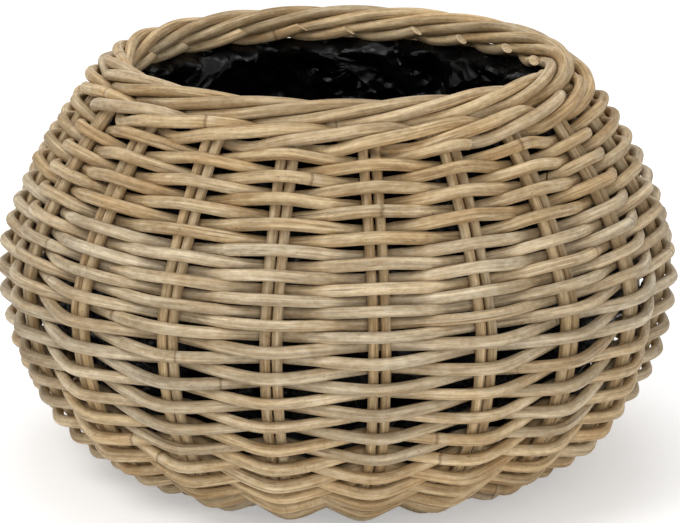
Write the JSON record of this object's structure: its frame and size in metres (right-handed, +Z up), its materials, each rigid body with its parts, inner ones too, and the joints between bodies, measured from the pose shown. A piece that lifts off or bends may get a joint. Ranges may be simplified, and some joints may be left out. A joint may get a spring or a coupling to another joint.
{
  "type": "rattan planter",
  "caption": "Round, swelling basket of stake and strand rattan weave with a rolled border and a loose black film liner, for a potted plant.",
  "frame": {"origin": "middle of the underside, on the surface that the basket stands on", "axes": "+Z up through the middle of the mouth; +X and -Y each run through the middle of a pair of uprights, -Y towards the viewer of the front"},
  "size_m": [0.5065, 0.5062, 0.309],
  "materials": {
    "rattan_rod": "matt, dry, unvarnished rattan rod with fine lengthwise grain",
    "rattan_weaver": "matt, dry rattan with bark left on, straw to grey-brown, fine lengthwise grain and dark nodes",
    "rattan_wale": "matt, dry rattan with bark left on",
    "rattan_hidden": "matt, dry rattan",
    "liner_film": "thin black film, crinkled, with a soft gloss"
  },
  "bodies": {
    "root": {"weaver_a_01": "rattan_weaver", "weaver_a_02": "rattan_weaver", "weaver_a_03": "rattan_weaver", "weaver_a_04": "rattan_weaver", "weaver_a_05": "rattan_weaver", "weaver_a_06": "rattan_weaver", "weaver_a_07": "rattan_weaver", "weaver_a_08": "rattan_weaver", "weaver_a_09": "rattan_weaver", "weaver_a_10": "rattan_weaver", "weaver_a_11": "rattan_weaver", "weaver_b_01": "rattan_weaver", "weaver_b_02": "rattan_weaver", "weaver_b_03": "rattan_weaver", "weaver_b_04": "rattan_weaver", "weaver_b_05": "rattan_weaver", "weaver_b_06": "rattan_weaver", "weaver_b_07": "rattan_weaver", "weaver_b_08": "rattan_weaver", "weaver_b_09": "rattan_weaver", "weaver_b_10": "rattan_weaver", "weaver_b_11": "rattan_weaver", "wale_strand_1": "rattan_wale", "wale_strand_2": "rattan_wale", "wale_strand_3": "rattan_wale", "floor_tie": "rattan_hidden", "rod_01": "rattan_rod", "rod_02": "rattan_rod", "rod_03": "rattan_rod", "rod_04": "rattan_rod", "rod_05": "rattan_rod", "rod_06": "rattan_rod", "rod_07": "rattan_rod", "rod_08": "rattan_rod", "rod_09": "rattan_rod", "rod_10": "rattan_rod", "rod_11": "rattan_rod", "rod_12": "rattan_rod", "rod_13": "rattan_rod", "rod_14": "rattan_rod", "rod_15": "rattan_rod", "rod_16": "rattan_rod", "rod_17": "rattan_rod", "rod_18": "rattan_rod", "rod_19": "rattan_rod", "rod_20": "rattan_rod", "border_core": "rattan_hidden", "liner": "liner_film"}
  },
  "joints": []
}
